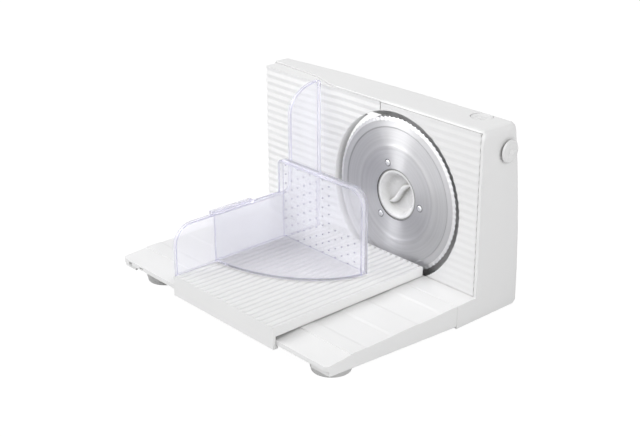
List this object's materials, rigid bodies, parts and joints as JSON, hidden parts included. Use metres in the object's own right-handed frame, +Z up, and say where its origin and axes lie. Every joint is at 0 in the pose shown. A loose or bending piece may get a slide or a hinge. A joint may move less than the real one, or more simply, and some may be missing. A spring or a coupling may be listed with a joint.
{
  "type": "electric food slicer",
  "caption": "Electric food slicer with a ribbed upright housing, serrated round blade, sliding carriage with a clear wall, and a clear remainder holder.",
  "frame": {"origin": "centre of the bounding box in plan, on the surface that the feet stand on", "axes": "+X along the ribbed face to the right as the user sees it, +Y from the user towards the back of the housing, +Z up"},
  "size_m": [0.3744, 0.309, 0.2379],
  "materials": {
    "housing_plastic": "white, satin",
    "button_plastic": "white, smooth",
    "clear_plastic": "clear with a faint violet tint",
    "blade_steel": "turned, bright",
    "dull_steel": "zinc plated",
    "bush_bronze": "sintered",
    "gear_nylon": "natural nylon",
    "dark_plastic": "black",
    "foot_grey": "pale grey"
  },
  "bodies": {
    "root": {"housing_shell": "housing_plastic", "front_panel": "housing_plastic", "base_plate": "housing_plastic", "front_foot_left": "foot_grey", "front_foot_right": "foot_grey", "rear_foot_left": "foot_grey", "rear_foot_right": "foot_grey", "panel_screw_low": "dull_steel", "panel_screw_high": "dull_steel", "panel_screw_top": "dull_steel", "base_screw_1": "dull_steel", "base_screw_2": "dull_steel", "base_screw_3": "dull_steel", "base_screw_4": "dull_steel", "cord_inlet": "housing_plastic", "guide_rod_lower": "dull_steel", "guide_rod_upper": "dull_steel", "shaft_bush": "bush_bronze", "motor": "dull_steel", "motor_mount": "dull_steel", "switch_block": "dark_plastic"},
    "stop_plate": {"stop_plate": "housing_plastic"},
    "thickness_knob": {"thickness_knob": "button_plastic"},
    "blade": {"blade": "blade_steel", "blade_rivet_1": "blade_steel", "blade_rivet_2": "blade_steel", "blade_rivet_3": "blade_steel", "blade_carrier": "gear_nylon", "blade_shaft": "dull_steel", "drive_wheel": "gear_nylon"},
    "blade_lock": {"blade_lock": "button_plastic"},
    "worm": {"worm_shaft": "dull_steel"},
    "carriage": {"carriage_tray": "housing_plastic", "carriage_wall": "clear_plastic"},
    "remainder_holder": {"remainder_holder": "clear_plastic"},
    "top_button": {"top_button": "button_plastic"},
    "side_button": {"side_button": "button_plastic"}
  },
  "joints": [
    {"name": "plate_slide", "type": "slide", "parent": "root", "child": "stop_plate", "axis": [0, 1, 0], "range_m": [0, 0.015]},
    {"name": "thickness_turn", "type": "hinge", "parent": "root", "child": "thickness_knob", "pos_m": [-0.1638, 0.14, 0.1324], "axis": [0, 1, 0], "range_deg": [0, 320]},
    {"name": "blade_spin", "type": "hinge", "parent": "root", "child": "blade", "pos_m": [0.0495, 0.08037, 0.1224], "axis": [0, 1, 0], "continuous": true},
    {"name": "lock_turn", "type": "hinge", "parent": "blade", "child": "blade_lock", "pos_m": [0.0495, 0.08037, 0.1224], "axis": [0, 1, 0], "range_deg": [0, 90]},
    {"name": "worm_spin", "type": "hinge", "parent": "root", "child": "worm", "pos_m": [0.0495, 0.11797, 0.0894], "axis": [1, 0, 0], "continuous": true},
    {"name": "carriage_slide", "type": "slide", "parent": "root", "child": "carriage", "axis": [1, 0, 0], "range_m": [-0.105, 0.105]},
    {"name": "holder_slide", "type": "slide", "parent": "carriage", "child": "remainder_holder", "axis": [0, 1, 0], "range_m": [-0.05, 0.049]},
    {"name": "top_button_press", "type": "slide", "parent": "root", "child": "top_button", "axis": [0, 0, -1], "range_m": [0, 0.0025], "stiffness_N_per_m": 400, "springref_m": -0.001},
    {"name": "side_button_press", "type": "slide", "parent": "root", "child": "side_button", "axis": [-1, 0, 0], "range_m": [0, 0.003], "stiffness_N_per_m": 400, "springref_m": -0.001}
  ],
  "couplings": [
    {"joint": "thickness_turn", "follows": "plate_slide", "rad_per_m": 372.3},
    {"joint": "worm_spin", "follows": "blade_spin", "ratio": 26}
  ]
}
